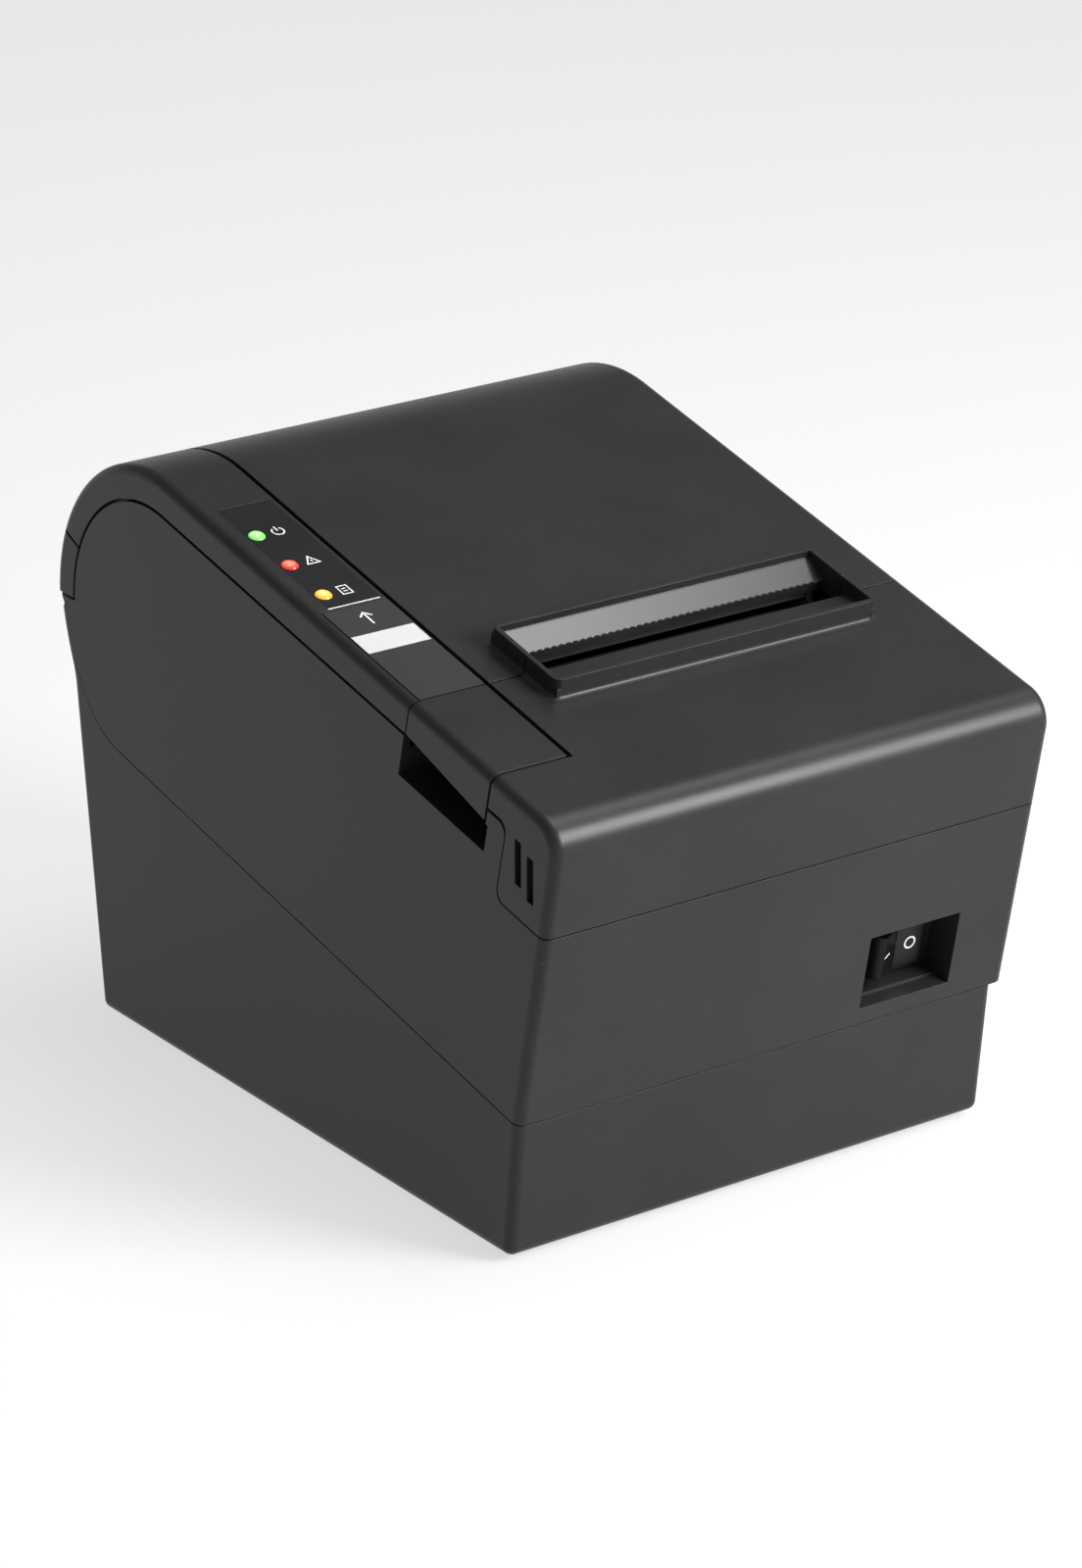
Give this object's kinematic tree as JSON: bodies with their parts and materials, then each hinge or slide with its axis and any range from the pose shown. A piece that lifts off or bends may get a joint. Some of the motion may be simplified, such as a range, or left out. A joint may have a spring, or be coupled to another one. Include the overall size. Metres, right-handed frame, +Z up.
{
  "type": "receipt printer",
  "caption": "Desktop thermal receipt printer: sloping roof with paper exit, hinged roll cover, sliding front cover, control strip with lamps and feed key, and a recessed power rocker.",
  "frame": {"origin": "on the table under the middle of the printer", "axes": "+X to the right as seen from the front, +Y to the back, +Z up"},
  "size_m": [0.14, 0.206, 0.148],
  "materials": {
    "case_plastic": "fine matte texture",
    "key_plastic": "fine matte texture",
    "panel_film": "satin printed film",
    "lamp_orange": "clear tinted, lit",
    "lamp_red": "clear tinted, lit",
    "lamp_green": "clear tinted, lit",
    "switch_plastic": "satin",
    "steel": "brushed",
    "plated_steel": "plated",
    "rubber": "matt",
    "gear_plastic": "plain moulded",
    "inner_plastic": "plain moulded",
    "board": "lacquered laminate",
    "heat_sink": "plain",
    "print_head": "glazed ceramic strip",
    "brass": "plain"
  },
  "bodies": {
    "base": {"lower_case": "case_plastic", "upper_case": "case_plastic", "control_strip": "case_plastic", "panel_film": "panel_film", "paper_lamp": "lamp_orange", "error_lamp": "lamp_red", "power_lamp": "lamp_green", "switch_body": "switch_plastic", "lever_pin": "steel", "hinge_pins": "steel", "power_inlet": "inner_plastic", "drawer_socket": "inner_plastic", "network_socket": "plated_steel", "data_socket": "plated_steel", "rubber_feet": "rubber", "case_screws": "plated_steel", "main_board": "board", "panel_board": "board", "feed_switch": "inner_plastic", "idler_axle": "steel", "feed_motor": "plated_steel", "print_frame": "plated_steel", "print_head": "print_head", "heat_sink": "heat_sink", "head_springs": "steel", "cutter_bed": "plated_steel", "cutter_motor": "plated_steel", "paper_bucket": "inner_plastic"},
    "cover": {"roll_cover": "case_plastic", "tear_bar": "steel", "platen_bushings": "gear_plastic", "platen_holder": "inner_plastic", "fixed_blade": "steel"},
    "platen": {"platen_roller": "rubber", "platen_shaft": "steel", "platen_gear": "gear_plastic"},
    "idler": {"idler_gear": "gear_plastic"},
    "drive": {"motor_pinion": "brass", "motor_shaft": "steel"},
    "front": {"front_cover": "case_plastic"},
    "lever": {"release_lever": "case_plastic"},
    "key": {"feed_key": "key_plastic"},
    "rocker": {"power_rocker": "switch_plastic"},
    "blade": {"moving_blade": "steel"},
    "cutter": {"cutter_pinion": "brass"}
  },
  "joints": [
    {"name": "roll_cover_hinge", "type": "hinge", "parent": "base", "child": "cover", "pos_m": [0, 0.1005, 0.104], "axis": [-1, 0, 0], "range_deg": [0, 95]},
    {"name": "platen_spin", "type": "hinge", "parent": "cover", "child": "platen", "pos_m": [0.0067, -0.0352, 0.10706], "axis": [1, 0, 0], "continuous": true},
    {"name": "idler_spin", "type": "hinge", "parent": "base", "child": "idler", "pos_m": [-0.0442, -0.0352, 0.08606], "axis": [1, 0, 0], "continuous": true},
    {"name": "drive_spin", "type": "hinge", "parent": "base", "child": "drive", "pos_m": [-0.0442, -0.04838, 0.07613], "axis": [1, 0, 0], "continuous": true},
    {"name": "front_cover_slide", "type": "slide", "parent": "base", "child": "front", "axis": [0, -0.9736, -0.2284], "range_m": [0, 0.016]},
    {"name": "release_lever_tilt", "type": "hinge", "parent": "base", "child": "lever", "pos_m": [-0.0512, -0.06283, 0.11537], "axis": [0, 0.9736, 0.2284], "range_deg": [0, 11], "stiffness_Nm_per_rad": 0.05},
    {"name": "feed_key_press", "type": "slide", "parent": "base", "child": "key", "axis": [0, 0.2284, -0.9736], "range_m": [0, 0.0008], "stiffness_N_per_m": 800},
    {"name": "power_rocker_rock", "type": "hinge", "parent": "base", "child": "rocker", "pos_m": [0.0391, -0.08293, 0.05103], "axis": [0, 0.1994, -0.9799], "range_deg": [0, 29]},
    {"name": "blade_slide", "type": "slide", "parent": "base", "child": "blade", "axis": [0, 0.9736, 0.2284], "range_m": [0, 0.006]},
    {"name": "cutter_spin", "type": "hinge", "parent": "base", "child": "cutter", "pos_m": [0.024, -0.0563, 0.11382], "axis": [0, -0.2284, 0.9736], "range_deg": [-77, 1]}
  ],
  "couplings": [
    {"joint": "idler_spin", "follows": "platen_spin", "ratio": -0.75},
    {"joint": "drive_spin", "follows": "platen_spin", "ratio": 2},
    {"joint": "cutter_spin", "follows": "blade_slide", "rad_per_m": -222.22}
  ]
}
